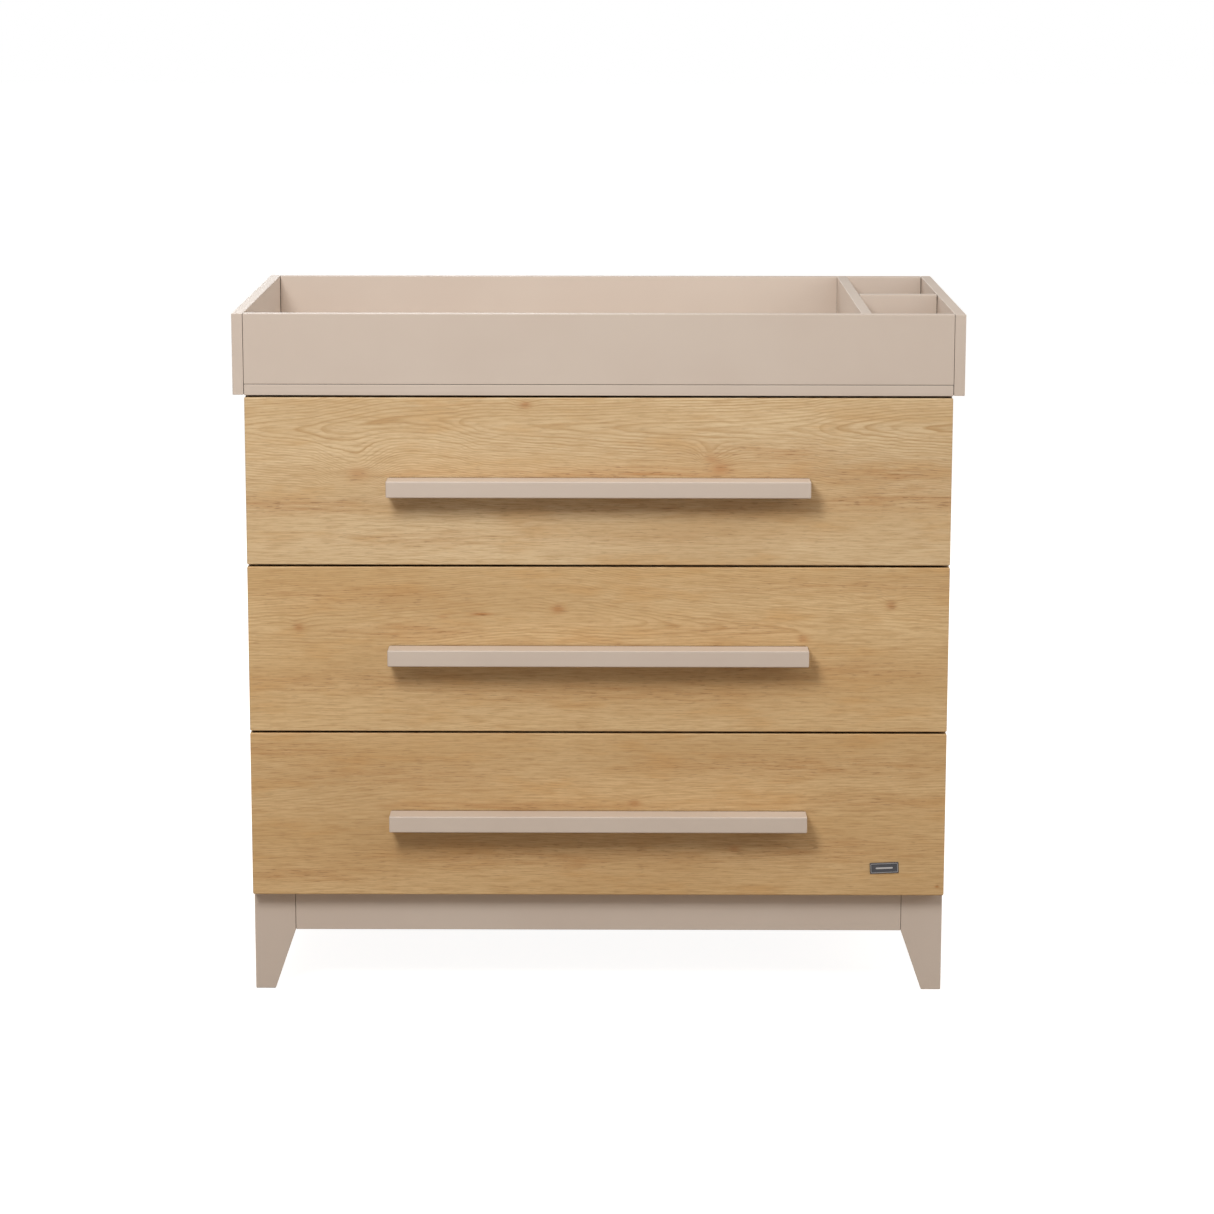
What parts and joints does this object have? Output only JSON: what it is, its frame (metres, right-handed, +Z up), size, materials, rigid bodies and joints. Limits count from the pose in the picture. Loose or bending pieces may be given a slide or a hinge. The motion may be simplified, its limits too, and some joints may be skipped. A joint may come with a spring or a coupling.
{
  "type": "changing table",
  "caption": "Chest of drawers on tapered feet with wood-look fronts, long bar handles and a lift-off changing frame with side compartments on its top.",
  "frame": {"origin": "on the floor, in the middle of the overall box", "axes": "+Z up, +X to the right seen from the front, front faces -Y"},
  "size_m": [1, 0.5686, 0.9615],
  "materials": {
    "paint": "satin warm grey-beige lacquer on board",
    "oak": "light oak grain foil, low sheen, grain running across",
    "drawer_box": "pale matt foil on board",
    "hardboard": "thin painted hardboard",
    "steel": "bright zinc-plated steel",
    "badge": "plain dark grey plate"
  },
  "bodies": {
    "chest": {"left_side_panel": "paint", "right_side_panel": "paint", "top_panel": "paint", "bottom_panel": "paint", "back_panel": "hardboard", "front_plinth_rail": "paint", "back_plinth_rail": "paint", "left_plinth_rail": "paint", "right_plinth_rail": "paint", "front_left_foot": "paint", "front_right_foot": "paint", "back_left_foot": "paint", "back_right_foot": "paint", "left_bracket_screw": "steel", "right_bracket_screw": "steel", "slide_1_left_outer": "steel", "slide_1_right_outer": "steel", "slide_2_left_outer": "steel", "slide_2_right_outer": "steel", "slide_3_left_outer": "steel", "slide_3_right_outer": "steel"},
    "changing_frame": {"changer_left_panel": "paint", "changer_right_panel": "paint", "changer_front_panel": "paint", "changer_back_panel": "paint", "changer_divider": "paint", "changer_cross_divider": "paint", "changer_left_bracket": "steel", "changer_right_bracket": "steel"},
    "drawer_1": {"drawer_1_front": "oak", "drawer_1_left_side": "drawer_box", "drawer_1_right_side": "drawer_box", "drawer_1_back": "drawer_box", "drawer_1_bottom": "drawer_box", "drawer_1_handle": "paint", "slide_1_left_inner": "steel", "slide_1_right_inner": "steel"},
    "slide_middle_1": {"slide_1_left_middle": "steel", "slide_1_right_middle": "steel"},
    "drawer_2": {"drawer_2_front": "oak", "drawer_2_left_side": "drawer_box", "drawer_2_right_side": "drawer_box", "drawer_2_back": "drawer_box", "drawer_2_bottom": "drawer_box", "drawer_2_handle": "paint", "slide_2_left_inner": "steel", "slide_2_right_inner": "steel"},
    "slide_middle_2": {"slide_2_left_middle": "steel", "slide_2_right_middle": "steel"},
    "drawer_3": {"drawer_3_front": "oak", "drawer_3_left_side": "drawer_box", "drawer_3_right_side": "drawer_box", "drawer_3_back": "drawer_box", "drawer_3_bottom": "drawer_box", "drawer_3_handle": "paint", "slide_3_left_inner": "steel", "slide_3_right_inner": "steel", "drawer_3_badge": "badge"},
    "slide_middle_3": {"slide_3_left_middle": "steel", "slide_3_right_middle": "steel"}
  },
  "joints": [
    {"name": "changing_frame_lift", "type": "slide", "parent": "chest", "child": "changing_frame", "axis": [0, 0, 1], "range_m": [0, 0.15]},
    {"name": "drawer_1_slide", "type": "slide", "parent": "chest", "child": "drawer_1", "axis": [0, -1, 0], "range_m": [0, 0.45]},
    {"name": "slide_middle_1_run", "type": "slide", "parent": "chest", "child": "slide_middle_1", "axis": [0, -1, 0], "range_m": [0, 0.225]},
    {"name": "drawer_2_slide", "type": "slide", "parent": "chest", "child": "drawer_2", "axis": [0, -1, 0], "range_m": [0, 0.45]},
    {"name": "slide_middle_2_run", "type": "slide", "parent": "chest", "child": "slide_middle_2", "axis": [0, -1, 0], "range_m": [0, 0.225]},
    {"name": "drawer_3_slide", "type": "slide", "parent": "chest", "child": "drawer_3", "axis": [0, -1, 0], "range_m": [0, 0.45]},
    {"name": "slide_middle_3_run", "type": "slide", "parent": "chest", "child": "slide_middle_3", "axis": [0, -1, 0], "range_m": [0, 0.225]}
  ],
  "couplings": [
    {"joint": "slide_middle_1_run", "follows": "drawer_1_slide", "ratio": 0.5},
    {"joint": "slide_middle_2_run", "follows": "drawer_2_slide", "ratio": 0.5},
    {"joint": "slide_middle_3_run", "follows": "drawer_3_slide", "ratio": 0.5}
  ]
}
